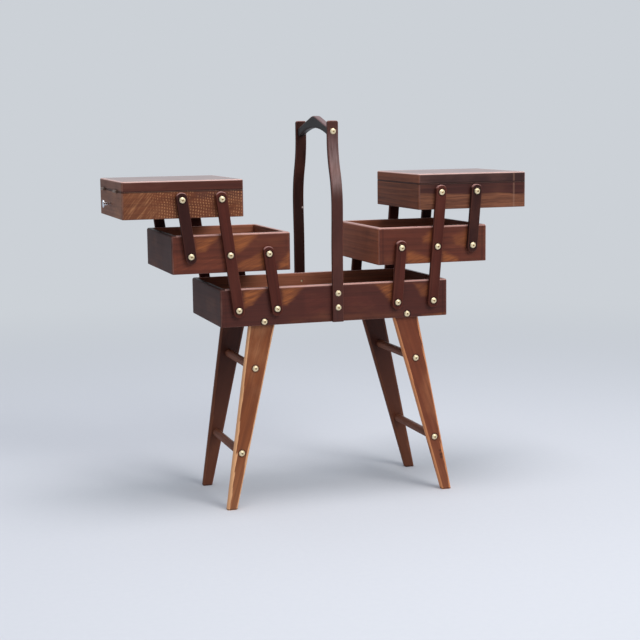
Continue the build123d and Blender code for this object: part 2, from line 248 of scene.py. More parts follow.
# The deep, body and worn colours of the rungs, the grip and the top boxes
RUNG = (srgb(56, 30, 22), srgb(118, 70, 50), srgb(150, 100, 76))
GRIP = (srgb(30, 27, 27), srgb(52, 49, 49), srgb(80, 64, 62))
BOX = {
    "left": (srgb(64, 31, 20), srgb(109, 58, 34), srgb(198, 140, 94)),
    "right": (DEEP, srgb(72, 37, 32), srgb(140, 88, 60)),
}
BOX_FLANK = {"left": srgb(126, 84, 66), "right": srgb(136, 76, 48)}

# The bright and the dull tone of each metal
BRASS = (srgb(244, 228, 190), srgb(206, 184, 142))
RECESS_BRASS = (srgb(176, 150, 104), srgb(120, 98, 62))
AGED_BRASS = (srgb(132, 108, 94), srgb(74, 56, 46))
CHROME = (srgb(226, 228, 232), srgb(168, 170, 176))

# How dark the painted shade about screws and in a lid's seam is, and the joints at the left and the right
# end of an open box's front
SCREW_SHADE = 0.6
SEAM_SHADE = 0.9
BASE_JOINTS = (0.15, 0.35)
TRAY_JOINTS = {"left": (0.1, 0.1), "right": (0.3, 0.3)}

# How wide the worn strips along a leg's left and right side lines are
STRIP_WIDTHS = {"left": (0.0032, 0.0032), "right": (0.0026, 0.0046)}

# How the front and the rear legs wear: share along the edges, then low Z, high Z and share of the fading
# that lays the worn colour low down; on the rear legs it leaves painted shade high up under the base
LEG_WEAR_AND_SHADE = {"front": (0.9, (-0.05, 0.2, 0.22)), "rear": (0.3, (0.0, 0.34, 0.35))}

# How close to a leg's ends its side lines are read
END_SLICE = 0.0015

# How far below an arm's lowest pivot a screw may lie and still mark the arm
ARM_MARGIN = 0.02

# Patches on the front faces, most of them lighter: corners in X and Z, colour, share. The brightest ones, on
# the base and the trays, are painted sunlight that falls between the shadows of the arms
BASE_PATCHES = (
    ([(-0.174, 0.397), (-0.132, 0.399), (-0.158, 0.370), (-0.174, 0.366)], PAINTED_SUNLIGHT, 0.8),
    ([(-0.103, 0.398), (-0.063, 0.398), (-0.093, 0.367), (-0.103, 0.368)], PAINTED_SUNLIGHT, 0.8),
    ([(0.078, 0.395), (0.108, 0.395), (0.109, 0.364), (0.100, 0.366)], PAINTED_SUNLIGHT, 0.7),
    ([(0.150, 0.394), (0.181, 0.393), (0.181, 0.370), (0.163, 0.370)], PAINTED_SUNLIGHT, 0.5),
    ([(0.166, 0.3355), (0.216, 0.338), (0.216, 0.330), (0.166, 0.330)], PAINTED_SUNLIGHT, 0.6),
    ([(-0.060, 0.386), (0.060, 0.378), (0.075, 0.356), (-0.060, 0.350)], srgb(108, 50, 38), 0.25),
)
TRAY_PATCHES = (
    ([(-0.258, 0.492), (-0.216, 0.493), (-0.240, 0.468), (-0.258, 0.466)], PAINTED_SUNLIGHT, 0.65),
    ([(-0.300, 0.465), (-0.200, 0.461), (-0.200, 0.438), (-0.300, 0.434)], srgb(132, 66, 42), 0.45),
    ([(-0.190, 0.493), (-0.146, 0.494), (-0.180, 0.464), (-0.190, 0.464)], PAINTED_SUNLIGHT, 0.65),
    ([(-0.188, 0.444), (-0.130, 0.465), (-0.130, 0.434), (-0.188, 0.432)], PAINTED_SUNLIGHT, 0.6),
    ([(-0.107, 0.442), (-0.086, 0.462), (-0.086, 0.434), (-0.107, 0.434)], PAINTED_SUNLIGHT, 0.75),
    ([(0.166, 0.478), (0.186, 0.492), (0.186, 0.468), (0.168, 0.468)], PAINTED_SUNLIGHT, 0.5),
    ([(0.226, 0.478), (0.260, 0.490), (0.260, 0.458), (0.236, 0.464)], PAINTED_SUNLIGHT, 0.45),
    ([(0.135, 0.455), (0.185, 0.440), (0.185, 0.432), (0.135, 0.432)], PAINTED_SUNLIGHT, 0.6),
    ([(0.205, 0.452), (0.236, 0.438), (0.236, 0.431), (0.205, 0.431)], PAINTED_SUNLIGHT, 0.65),
)
LEFT_BOX_PATCHES = (
    ([(-0.265, 0.580), (-0.165, 0.580), (-0.165, 0.556), (-0.245, 0.558)], srgb(88, 50, 40), 0.75),
    ([(-0.386, 0.560), (-0.265, 0.552), (-0.265, 0.525), (-0.386, 0.525)], srgb(128, 80, 52), 0.3),
)
RIGHT_BOX_PATCHES = (
    ([(0.150, 0.557), (0.380, 0.552), (0.380, 0.520), (0.150, 0.520)], srgb(134, 84, 58), 0.95),
)

# The handle's front upright has a painted greyish sheen below the grip
UPRIGHT_SHEEN = (
    ([(-0.016, 0.662), (0.016, 0.662), (0.016, 0.572), (-0.016, 0.572)], srgb(150, 122, 120), 0.5),
)

# Groups of rounds (X, Z, radius), with their colour, share and side: dark marks near the foot of the
# front right leg, and a chip in the handle's rear upright
FOOT_MARKS = ([(0.2046, 0.0760, 0.0006), (0.2066, 0.0682, 0.0018), (0.2074, 0.0630, 0.0012)], DARK_MARK, 0.6, 1.0)
CHIP = ([(0.0078, 0.5262, 0.0002)], srgb(196, 176, 170), 0.8, -1.0)

# Thin lines: a light scratch down the right box and its lid, and a dark line at a leg's sole
SCRATCH = ("x", 0.3492, srgb(150, 112, 92), 0.32)
SOLE_LINE = ("z", 0.0008, DARK_MARK, 0.7)

# How the wood differs from the usual on the top boxes and the uprights
BOX_LOOKS = {
    "left": {"patches": LEFT_BOX_PATCHES, "fleck": 0.6, "wear": 0.25},
    "right": {"patches": RIGHT_BOX_PATCHES, "soft": 0.0014, "slant": 0.02, "wear": 0.15, "grain": 0.5,
              "figure": 0.5},
}
UPRIGHT_LOOKS = {
    "front": {"patches": UPRIGHT_SHEEN, "soft": 0.02, "slant": math.pi / 2, "gloss": 0.25},
    "rear": {"gloss": 0.1, "marks": (CHIP,)},
}


class Graph:
    """The nodes of a material or a world, made by short calls that hand back output sockets."""

    def __init__(self, owner):
        owner.use_nodes = True
        self.owner = owner
        self.tree = owner.node_tree
        self.tree.nodes.clear()
        self.coordinates = self.node("ShaderNodeTexCoord")

    def put(self, value, socket):
        """Links an output to a socket, or gives the socket a plain value."""
        if isinstance(value, bpy.types.NodeSocket):
            self.tree.links.new(value, socket)
        else:
            socket.default_value = value

    def node(self, kind, inputs=None, **settings):
        made = self.tree.nodes.new(kind)
        for key, value in settings.items():
            setattr(made, key, value)
        for key, value in (inputs or {}).items():
            self.put(value, made.inputs[key])
        return made

    def math(self, operation, a, b=0.0):
        return self.node("ShaderNodeMath", {0: a, 1: b}, operation=operation).outputs[0]

    def plus(self, a, b):
        return self.math("ADD", a, b)

    def minus(self, a, b):
        return self.math("SUBTRACT", a, b)

    def times(self, a, b):
        return self.math("MULTIPLY", a, b)

    def measure(self, operation, a, b=(0.0, 0.0, 0.0)):
        """The number that comes of two vectors, such as their distance."""
        return self.node("ShaderNodeVectorMath", {0: a, 1: b}, operation=operation).outputs["Value"]

    def parts(self, vector):
        return self.node("ShaderNodeSeparateXYZ", {0: vector}).outputs

    def turned(self, vector, turn):
        return self.node("ShaderNodeMapping", {"Vector": vector, "Rotation": turn}).outputs[0]

    def scaled(self, vector, scale, shift=(0.0, 0.0, 0.0)):
        inputs = {"Vector": vector, "Scale": scale, "Location": shift}
        return self.node("ShaderNodeMapping", inputs).outputs[0]

    def noise(self, vector, scale=1.0, detail=2.0, roughness=0.5):
        inputs = {"Vector": vector, "Scale": scale, "Detail": detail, "Roughness": roughness}
        return self.node("ShaderNodeTexNoise", inputs).outputs["Fac"]

    def rings(self, vector, distortion, detail, detail_scale):
        """Growth rings about the X axis, which waver by their distortion."""
        inputs = {"Vector": vector, "Scale": 1.0, "Distortion": distortion, "Detail": detail}
        inputs["Detail Scale"] = detail_scale
        settings = {"wave_type": "RINGS", "rings_direction": "X", "wave_profile": "SAW"}
        return self.node("ShaderNodeTexWave", inputs, **settings).outputs["Fac"]

    def step(self, value, low, high):
        """0 at low, 1 at high, and smooth between them."""
        inputs = {"Value": value, "From Min": low, "From Max": high}
        return self.node("ShaderNodeMapRange", inputs, interpolation_type="SMOOTHSTEP").outputs[0]

    def mix(self, share, a, b, kind="RGBA"):
        """The share of b over a, as colours, plain values or vectors."""
        first, output = MIX_SOCKETS[kind]
        return self.node("ShaderNodeMix", {0: share, first: a, first + 1: b}, data_type=kind).outputs[output]

    def mix_shader(self, share, a, b):
        return self.node("ShaderNodeMixShader", {0: share, 1: a, 2: b}).outputs[0]

    def bump(self, height, distance, strength):
        inputs = {"Height": height, "Distance": distance, "Strength": strength}
        return self.node("ShaderNodeBump", inputs).outputs[0]

    def surface(self, color, roughness, normal, **fixed):
        """The surface shader; fixed values are set on its own sockets."""
        inputs = {"Base Color": color, "Roughness": roughness, "Normal": normal}
        shader = self.node("ShaderNodeBsdfPrincipled", inputs)
        for key, value in fixed.items():
            shader.inputs[key.replace("_", " ")].default_value = value
        return shader.outputs[0]

    def finish(self, shader):
        """Ends a material in a shader and hands back the material."""
        self.node("ShaderNodeOutputMaterial", {"Surface": shader})
        return self.owner


def edges_of(graph, normal):
    """1 on rounded edges and 0 on flat faces, from the surface's own normal."""
    x, y, z = [graph.math("ABSOLUTE", part) for part in graph.parts(normal)]
    flatness = graph.math("MAXIMUM", graph.math("MAXIMUM", x, y), z)
    return graph.step(graph.minus(1.0, flatness), 0.01, 0.12)


def inside(graph, place, first, second, middle):
    """Distance from the line through two points (X, Z), above 0 on the side of the middle point."""
    run, rise = second[0] - first[0], second[1] - first[1]
    length = math.hypot(run, rise)
    normal = (-rise / length, 0.0, run / length)
    offset = -(normal[0] * first[0] + normal[2] * first[1])
    if normal[0] * middle[0] + normal[2] * middle[1] + offset < 0:
        normal = (-normal[0], 0.0, -normal[2])
        offset = -offset
    return graph.plus(graph.measure("DOT_PRODUCT", place, normal), offset)


def patch_of(graph, place, corners, rough, soft):
    """1 inside a patch given by its corners (X, Z), and 0 outside it, with a rough and soft border."""
    middle = [sum(corner[i] for corner in corners) / len(corners) for i in range(2)]
    sides = zip(corners, corners[1:] + corners[:1])
    depths = [inside(graph, place, first, second, middle) for first, second in sides]
    depth = depths[0]
    for other in depths[1:]:
        depth = graph.math("MINIMUM", depth, other)
    return graph.step(graph.plus(depth, rough), -soft, soft)


def around(graph, place, spots, soft=0.003):
    """1 within the radius of any spot (X, Z, radius), and 0 further off."""
    flatten = {0: place, 1: (1.0, 0.0, 1.0)}
    flat = graph.node("ShaderNodeVectorMath", flatten, operation="MULTIPLY").outputs[0]
    depth = -1.0
    for x, z, radius in spots:
        reach = graph.measure("DISTANCE", flat, (x, 0.0, z))
        depth = graph.math("MAXIMUM", depth, graph.minus(radius, reach))
    return graph.step(depth, -soft, 0.0)


def hatching(graph, place):
    """Rows of short upright light ticks, as where a saw has crossed the figure of the wood."""
    x, _, z = graph.parts(place)
    drift = graph.noise(graph.scaled(place, HATCH_MOVES))
    columns = graph.plus(graph.times(x, HATCH_COLUMNS), graph.times(drift, COLUMN_WANDER))
    rows = graph.plus(graph.times(z, HATCH_ROWS), graph.times(x, HATCH_FALL))
    rows = graph.plus(rows, graph.times(drift, ROW_WANDER))
    ticks = graph.step(graph.math("SINE", columns), -0.1, 0.9)
    breaks = graph.step(graph.math("SINE", rows), -0.5, 0.5)
    slanting = graph.turned(place, HATCH_SLANT)
    spread = graph.noise(graph.scaled(slanting, HATCH_SPREAD))
    hatched = graph.times(graph.times(ticks, breaks), graph.step(spread, 0.36, 0.56))
    streaks = graph.noise(graph.scaled(slanting, HATCH_STREAKS), detail=3.0)
    streaked = graph.times(graph.step(streaks, 0.45, 0.75), 0.75)
    share = graph.step(x, HATCH_START - HATCH_BORDER, HATCH_START + HATCH_BORDER)
    return graph.mix(share, streaked, hatched, "FLOAT")


class Wood(Graph):
    """Stained and varnished wood in its deep, body and worn colours. Each method lays one thing more
    over the colour, and wood() calls them in their order."""

    def __init__(self, name, deep, worn, turn):
        super().__init__(bpy.data.materials.new(name))
        self.deep = deep
        self.worn = worn
        self.place = self.coordinates.outputs["Object"]
        normal = self.coordinates.outputs["Normal"]
        self.x, self.y, self.z = self.parts(self.place)
        self.across, self.forth, self.up = self.parts(normal)
        self.sideways = self.math("GREATER_THAN", self.math("ABSOLUTE", self.across), SIDE_FACING)
        self.aligned = self.turned(self.place, turn)
        self.edges = edges_of(self, self.turned(normal, turn))

    def lay(self, mask, share, tone):
        """Lays a tone over the colour where the mask is 1, as strongly as its share."""
        self.color = self.mix(self.times(mask, share), self.color, tone)

    def color_faces(self, body, flank, inner, under):
        """The colour by the way a face looks: the stain, and inside a box a paler tone that is partly
        painted light. On the left and right faces the grain runs along Y.
        """
        self.color = body
        if flank:
            along_y = self.turned(self.place, ALONG_Y)
            self.aligned = self.mix(self.sideways, self.aligned, along_y, "VECTOR")
            self.color = self.mix(self.sideways, self.color, flank)
        if inner:
            tone, middle_x = inner
            outward = self.times(self.across, self.minus(self.x, middle_x))
            outward = self.plus(outward, self.times(self.forth, self.y))
            self.color = self.mix(self.math("LESS_THAN", outward, -INNER_DEPTH), self.color, tone)
        if under:
            self.color = self.mix(self.math("LESS_THAN", self.up, DOWN_FACING), self.color, under)

    def lay_figure(self, figure, wear):
        """Growth rings and cloudy wear, and the noises that the later layers share."""
        self.fibres = self.noise(self.scaled(self.aligned, FIBRES), detail=3.0, roughness=0.6)
        self.streaks = self.noise(self.scaled(self.aligned, STREAKS), detail=4.0, roughness=0.62)
        self.clouds = self.noise(self.scaled(self.aligned, CLOUDS, CLOUDS_SHIFT), detail=4.0, roughness=0.55)
        self.soil = self.noise(self.place, SOIL_CLOUDS, detail=3.0, roughness=0.55)
        self.rough = self.times(self.minus(self.plus(self.streaks, self.clouds), 1.0), BORDER_WANDER)
        rings = self.rings(self.scaled(self.aligned, RINGS), distortion=7.0, detail=3.0, detail_scale=0.7)
        self.lay(rings, figure, self.deep)
        self.lay(self.step(self.clouds, 0.48, 0.7), wear, self.worn)

    def lay_fade(self, low, high, share):
        """The worn colour, laid more and more towards the low end; on the rear legs this leaves painted
        shade at the high end, under the base.
        """
        height = self.plus(self.z, self.times(self.clouds, FADE_WANDER))
        self.lay(self.minus(1.0, self.step(height, low, high)), share, self.worn)

    def lay_patches(self, patches, soft, slant):
        """Streaked patches on the front face; on the base and the trays the brightest are painted sunlight.
        """
        slanting = self.turned(self.place, (0.0, slant, 0.0))
        streaks = self.noise(self.scaled(slanting, PATCH_STREAKS), detail=3.0)
        streaked = self.plus(self.times(self.step(streaks, 0.35, 0.65), 0.55), 0.45)
        looks_front = self.math("LESS_THAN", self.forth, FRONT_FACING)
        front = self.times(self.math("LESS_THAN", self.y, 0.0), looks_front)
        for corners, tone, share in patches:
            patch = self.times(patch_of(self, self.place, corners, self.rough, soft), front)
            self.lay(self.times(patch, streaked), share, tone)

    def lay_hatching(self, share):
        """The hatching, on the front face."""
        front = self.step(self.forth, -FRONT_FACING, FRONT_FACING)
        self.lay(self.times(hatching(self, self.place), front), share, self.worn)

    def lay_grain(self, grain):
        """Dark streaks and pores along the grain."""
        self.lay(self.step(self.streaks, 0.42, 0.72), grain, self.deep)
        self.lay(self.step(self.fibres, 0.55, 0.72), PORE_SHARE, self.deep)

    def lay_edges(self, borders, tone, share):
        """Wear along the rounded edges and the borders, then soil, and how dull both make the wood."""
        strip = self.times(self.edges, self.step(self.clouds, 0.3, 0.5))
        for first, second, middle, width in borders:
            depth = self.plus(inside(self, self.place, first, second, middle), self.rough)
            near = self.minus(1.0, self.step(depth, 0.6 * width, width))
            strip = self.math("MAXIMUM", strip, near)
        self.lay(strip, share, tone)
        self.lay(self.step(self.soil, 0.5, 0.8), SOIL_SHARE, self.deep)
        dull = self.plus(self.times(strip, EDGE_DULLNESS), self.times(self.soil, SOIL_DULLNESS))
        self.dull = self.plus(dull, self.times(self.sideways, SIDE_DULLNESS))

    def lay_rim(self, tone, share, gloss):
        """A tone on what faces up, mostly a painted highlight of the varnish's sheen, which the gloss makes
        smoother.
        """
        upward = self.step(self.up, 0.25, 0.7)
        self.lay(upward, share, tone)
        self.dull = self.minus(self.dull, self.times(upward, gloss))

    def lay_marks(self, marks):
        """Rounds on the faces away from the object's middle plane, or on those towards it."""
        outward = self.times(self.forth, self.y)
        for spots, tone, share, side in marks:
            shown = self.math("GREATER_THAN", self.times(outward, side), 0.0)
            self.lay(self.times(around(self, self.place, spots), shown), share, tone)

    def lay_lines(self, lines):
        """Thin straight lines on the upright faces."""
        upright = self.step(self.math("ABSOLUTE", self.up), 0.6, 0.2)
        for axis, line_place, tone, share in lines:
            gap = self.math("ABSOLUTE", self.minus({"x": self.x, "z": self.z}[axis], line_place))
            line = self.times(self.minus(1.0, self.step(gap, *LINE_BORDERS)), upright)
            self.lay(line, share, tone)

    def varnish(self, roughness, gloss, coat):
        """The finished material, with the grain as a fine relief. Roughness is that of half soiled wood."""
        height = self.plus(self.times(self.fibres, -0.6), self.times(self.streaks, -0.5))
        bump = self.bump(height, GRAIN_RELIEF, 0.5)
        rough = self.plus(self.dull, roughness - SOIL_DULLNESS / 2)
        shader = self.surface(self.color, rough, bump, Specular_IOR_Level=gloss, Coat_Weight=coat,
                              Coat_Roughness=COAT_ROUGHNESS)
        return self.finish(shader)


def wood(name, deep, body, worn, turn=(0.0, 0.0, 0.0), flank=None, inner=None, under=None, figure=0.25,
         wear=0.2, fade=None, patches=(), soft=0.005, slant=0.35, fleck=0.0, grain=0.35, borders=(),
         edge=None, rim=None, rim_gloss=0.12, marks=(), lines=(), roughness=0.42, gloss=0.2, coat=0.0):
    """The material of a wooden piece, from its deep, body and worn colours and these choices:

    turn brings the grain's direction to X.
    flank colours the faces to the left and the right, and under what faces down.
    inner = (colour, middle X) colours what faces into the box, partly as painted light.
    figure, wear and grain are the strength of the rings, the worn clouds and the dark streaks.
    fade = (low Z, high Z, share) lays the worn colour more towards the low end.
    patches on the front are (corners, colour, share), soft at the borders and streaked at a slant.
    fleck is the strength of the hatching.
    borders are side lines with worn strips: (point, point, middle, width).
    edge = (colour, share) is the wear along the edges and borders.
    rim = (colour, share) is a tone on what faces up, mostly a painted highlight, and rim_gloss makes it
    smoother.
    marks are groups of rounds: (list of (X, Z, radius), colour, share, side), where the side is 1 for the
    faces away from the object's middle plane and -1 for those towards it.
    lines are thin ones along a joint or across the wood: (axis, place, colour, share).
    coat is the weight of a clear varnish over it all."""
    made = Wood(name, deep, worn, turn)
    made.color_faces(body, flank, inner, under)
    made.lay_figure(figure, wear)
    if fade:
        made.lay_fade(*fade)
    if patches:
        made.lay_patches(patches, soft, slant)
    if fleck:
        made.lay_hatching(fleck)
    made.lay_grain(grain)
    made.lay_edges(borders, *(edge or (worn, 0.4)))
    if rim:
        made.lay_rim(*rim, rim_gloss)
    made.lay_marks(marks)
    made.lay_lines(lines)
    return made.varnish(roughness, gloss, coat)


def metal(name, bright, dull, roughness, scratch=0.15, metallic=1.0):
    """Plated metal with a faint unevenness, dulled in patches."""
    graph = Graph(bpy.data.materials.new(name))
    place = graph.coordinates.outputs["Object"]
    cloud = graph.noise(place, METAL_CLOUDS, detail=4.0, roughness=0.6)
    fine = graph.noise(graph.scaled(place, METAL_SCRATCHES))
    color = graph.mix(graph.times(graph.step(cloud, 0.45, 0.7), 0.6), bright, dull)
    rough = graph.plus(graph.times(cloud, 0.25), roughness - 0.12)
    bump = graph.bump(fine, SCRATCH_RELIEF, scratch)
    return graph.finish(graph.surface(color, rough, bump, Metallic=metallic))


def give(node_name, material):
    """Dresses a CAD node in a material."""
    slots = nodes[node_name].data.materials
    slots.clear()
    slots.append(material)


def middle_of(node_name):
    """The middle of a node's box along X."""
    low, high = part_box(node_name)
    return (low.x + high.x) / 2


def dress_box(prefix, boards, material):
    """Gives a box's boards their wood. boards are the names of its left and right board."""
    for board in (*FACES, *boards):
        give(f"{prefix}_{board}_board", material)


def joint_lines(prefix, boards, shares):
    """The joints between a box's front board and its two end boards, as thin marks."""
    left, right = [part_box(f"{prefix}_{board}_board") for board in boards]
    return [("x", left[1].x, DEEP, shares[0]), ("x", right[0].x, DEEP, shares[1])]


def dress_open_box(prefix, boards, body, flank, patches, joint_shares, lining):
    """A box without a lid, with a painted highlight on its rims. The rim of its left end board is darker,
    without the highlight, if it is an outer one.
    """
    looks = {"flank": flank, "inner": (INSIDE_WITH_PAINTED_LIGHT, middle_of(f"{prefix}_panel")), "patches": patches,
             "edge": CORNER, "marks": shade_rings(screw_spots(f"{prefix}_screws")),
             "lines": joint_lines(prefix, boards, joint_shares)}
    dress_box(prefix, boards, wood(prefix, DEEP, body, WALL_WORN, rim=RIM_HIGHLIGHT, **looks))
    if boards[0] != "inner":
        end = wood(f"{prefix}_end", DEEP, body, WALL_WORN, rim=DARK_RIM, rim_gloss=0.0, **looks)
        give(f"{prefix}_{boards[0]}_board", end)
    give(f"{prefix}_panel", lining)


def dress_top_box(side, lining):
    """A top box and its lid, with painted shade in the dark seam between them."""
    name = f"{side}_box"
    # The seam between box and lid is a dark line of painted shade
    seam = ("z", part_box(f"{name}_front_board")[1].z, DARK_MARK, SEAM_SHADE)
    lines = [SCRATCH, seam] if side == "right" else [seam]
    box = wood(name, *BOX[side], flank=BOX_FLANK[side], inner=(INSIDE_WITH_PAINTED_LIGHT, middle_of(f"{name}_panel")),
               edge=CORNER, marks=shade_rings(screw_spots(f"{name}_screws")), lines=lines, **BOX_LOOKS[side])
    dress_box(name, END_BOARDS[side], box)
    give(f"{name}_panel", lining)
    name = f"{side}_lid"
    top = wood(f"{name}_top", LID_TOP_DEEP, LID_TOP_AND_SHEEN[side], LID_TOP_WORN, under=UNDERSIDE, figure=0.6,
               roughness=0.3, gloss=0.75, coat=0.5)
    give(f"{name}_panel", top)
    rails = wood(f"{name}_rails", DEEP, LID_RAILS[side], LID_RAILS_WORN, flank=BOX_FLANK[side],
                 under=UNDERSIDE, wear=0.15, edge=CORNER, rim=LID_RIM_HIGHLIGHT, lines=lines)
    give(f"{name}_rails", rails)


def dress_boxes():
    """The base box, the trays, the top boxes and their lids."""
    lining = wood("lining", DEEP, LINING, LINING_WORN, roughness=0.55)
    dress_open_box("base", [*SIDES], WALL, END, BASE_PATCHES, BASE_JOINTS, lining)
    for side, boards in END_BOARDS.items():
        flank = TRAY_FLANK[side]
        dress_open_box(f"{side}_tray", boards, TRAY, flank, TRAY_PATCHES, TRAY_JOINTS[side], lining)
        dress_top_box(side, lining)


def dress_arms(side):
    """The arms of one side, with their grain along the lean at which they stand."""
    low = Vector(joints[f"{side}_arm_swing"]["pos_m"])
    high = Vector(joints[f"{side}_box_pivot"]["pos_m"])
    turn = direction_turn(high.x - low.x, high.z - low.z)
    screw_nodes = ("base_screws", f"{side}_tray_screws", f"{side}_box_screws")
    spots = [spot for node in screw_nodes for spot in screw_spots(node)]
    spots = [spot for spot in spots if spot[0] * SIDES[side] > 0 and spot[1] > low.z - ARM_MARGIN]
    for piece, tone in (("long", ARM), ("lower", ARM), ("upper", UPPER_ARM[side])):
        arm = wood(f"{side}_{piece}_arm", DEEP, tone, ARM_WORN, turn=turn, wear=0.15, edge=ARM_EDGE,
                   rim=ARM_RIM_HIGHLIGHT, marks=shade_rings(spots), gloss=0.1)
        for face in FACES:
            give(f"{side}_{face}_{piece}_arm", arm)


def side_lines(node_name):
    """The two long side lines of a leg, as (point, point, middle) in X and Z."""
    points = [vertex.co for vertex in nodes[node_name].data.vertices]
    low = min(point.z for point in points)
    high = max(point.z for point in points)
    foot = [point.x for point in points if point.z < low + END_SLICE]
    head = [point.x for point in points if point.z > high - END_SLICE]
    middle = ((sum(foot) / len(foot) + sum(head) / len(head)) / 2, (low + high) / 2)
    return [((pick(foot), low), (pick(head), high), middle) for pick in (min, max)]


def dress_leg(face, side):
    """A leg, with its grain and its worn strips along its length."""
    name = f"{face}_{side}_leg"
    low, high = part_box(name)
    turn = direction_turn(-SIDES[side] * (high.x - low.x), high.z - low.z)
    borders = [(*line, width) for line, width in zip(side_lines(name), STRIP_WIDTHS[side])]
    body, worn = (LEG[side], LEG_WORN[side]) if face == "front" else (REAR_LEG_IN_SHADE, REAR_LEG_WORN_IN_SHADE)
    edge_share, fade = LEG_WEAR_AND_SHADE[face]
    spots = [spot for spot in screw_spots("base_screws") if low.x < spot[0] < high.x and spot[1] < high.z]
    marks = shade_rings(spots)
    if (face, side) == ("front", "right"):
        marks.append(FOOT_MARKS)
    leg = wood(name, LEG_DEEP, body, worn, turn=turn, fade=fade, borders=borders, edge=(worn, edge_share),
               marks=marks, lines=[SOLE_LINE])
    give(name, leg)


def dress_frame():
    """The arms, the legs, the rungs and the handle."""
    for side in SIDES:
        dress_arms(side)
        for face in FACES:
            dress_leg(face, side)
    give("rungs", wood("rung", *RUNG, turn=ALONG_Y, edge=(DEEP, 0.0)))
    for face in FACES:
        upright = wood(f"{face}_upright", DEEP, UPRIGHT[face], UPRIGHT_WORN, turn=ALONG_Z, wear=0.15,
                       rim=UPRIGHT_HIGHLIGHT, **UPRIGHT_LOOKS[face])
        give(f"handle_{face}_upright", upright)
    give("handle_grip", wood("grip", *GRIP, turn=ALONG_Y, wear=0.15, rim=GRIP_HIGHLIGHT, gloss=0.3))


@functools.cache
def islands(node_name):
    """The vertices of a node in groups that hang together, each as its lowest and highest corner."""
    work = bmesh.new()
    work.from_mesh(nodes[node_name].data)
    bmesh.ops.remove_doubles(work, verts=work.verts, dist=TINY)
    unseen = set(work.verts)
    found = []
    while unseen:
        queue = [unseen.pop()]
        group = []
        while queue:
            vertex = queue.pop()
            group.append(vertex.co.copy())
            for edge in vertex.link_edges:
                other = edge.other_vert(vertex)
                if other in unseen:
                    unseen.remove(other)
                    queue.append(other)
        low = Vector([min(point[i] for point in group) for i in range(3)])
        high = Vector([max(point[i] for point in group) for i in range(3)])
        found.append((low, high))
    work.free()
    return sorted(found, key=lambda corners: tuple(corners[0]))


def screw_spots(node_name):
    """The rounds of painted shade about a node's screw heads, as (X, Z, radius)."""
    spots = set()
    for low, high in islands(node_name):
        radius = (high.x - low.x) / 2 + SHADE_RING_WIDTH
        spots.add((round((low.x + high.x) / 2, 4), round((low.z + high.z) / 2, 4), round(radius, 4)))
    return sorted(spots)


def shade_rings(spots):
    """The painted shade that falls about screws, on the faces away from the object's middle plane."""
    return [(spots, DARK_MARK, SCREW_SHADE, 1.0)]


def mesh_object(name, work):
    """A shown object made from a bmesh."""
    mesh = bpy.data.meshes.new(name)
    work.to_mesh(mesh)
    work.free()
    made = bpy.data.objects.new(name, mesh)
    bpy.context.scene.collection.objects.link(made)
    return made


def spun(profile):
    """A closed solid turned about Y from a profile of (radius, y), which starts and ends on the axis."""
    work = bmesh.new()
    rings = []
    for radius, y in profile:
        if radius < TINY:
            rings.append([work.verts.new((0.0, y, 0.0))])
            continue
        angles = [2 * math.pi * i / ROUND_STEPS for i in range(ROUND_STEPS)]
        rings.append([work.verts.new((radius * math.cos(a), y, radius * math.sin(a))) for a in angles])
    for first, second in zip(rings, rings[1:]):
        for i in range(ROUND_STEPS):
            j = (i + 1) % ROUND_STEPS
            corners = [first[i % len(first)], first[j % len(first)],
                       second[j % len(second)], second[i % len(second)]]
            unique = list(dict.fromkeys(corners))
            work.faces.new(unique)
    bmesh.ops.recalc_face_normals(work, faces=work.faces)
    return work


def cross_cutter():
    """A tapered cross that cuts the recess of a screw head, its wide end just in front of the head."""
    work = bmesh.new()
    front = -HEAD_HEIGHT - CUTTER_LEAD
    for long_x in (True, False):
        rings = []
        for y, share in ((front, 1.0), (front + CUTTER_DEPTH, CUTTER_TAPER)):
            reach = RECESS_HALF_LENGTH * share
            wide = RECESS_HALF_WIDTH * (0.7 + 0.3 * share)
            a, b = (reach, wide) if long_x else (wide, reach)
            corners = ((-a, -b), (a, -b), (a, b), (-a, b))
            rings.append([work.verts.new((x, y, z)) for x, z in corners])
        top, base = rings
        work.faces.new(top)
        work.faces.new(base)
        for i in range(4):
            j = (i + 1) % 4
            work.faces.new([top[i], top[j], base[j], base[i]])
    bmesh.ops.recalc_face_normals(work, faces=work.faces)
    return work


def recessed(name, solid, cutter):
    """The mesh of a solid with the cutter taken out of it."""
    body = mesh_object(name, solid)
    tool = mesh_object(name + "_cutter", cutter)
    cut = body.modifiers.new("recess", "BOOLEAN")
    cut.operation = "DIFFERENCE"
    cut.solver = "EXACT"
    cut.use_self = True
    cut.object = tool
    bpy.context.view_layer.update()
    mesh = bpy.data.meshes.new_from_object(body.evaluated_get(bpy.context.evaluated_depsgraph_get()))
    bpy.data.objects.remove(body)
    bpy.data.objects.remove(tool)
    return mesh


def dome_radius(head_radius):
    """The radius of the sphere that a screw's domed head is part of."""
    dome = HEAD_HEIGHT - HEAD_RIM
    return (head_radius ** 2 + dome ** 2) / (2 * dome)


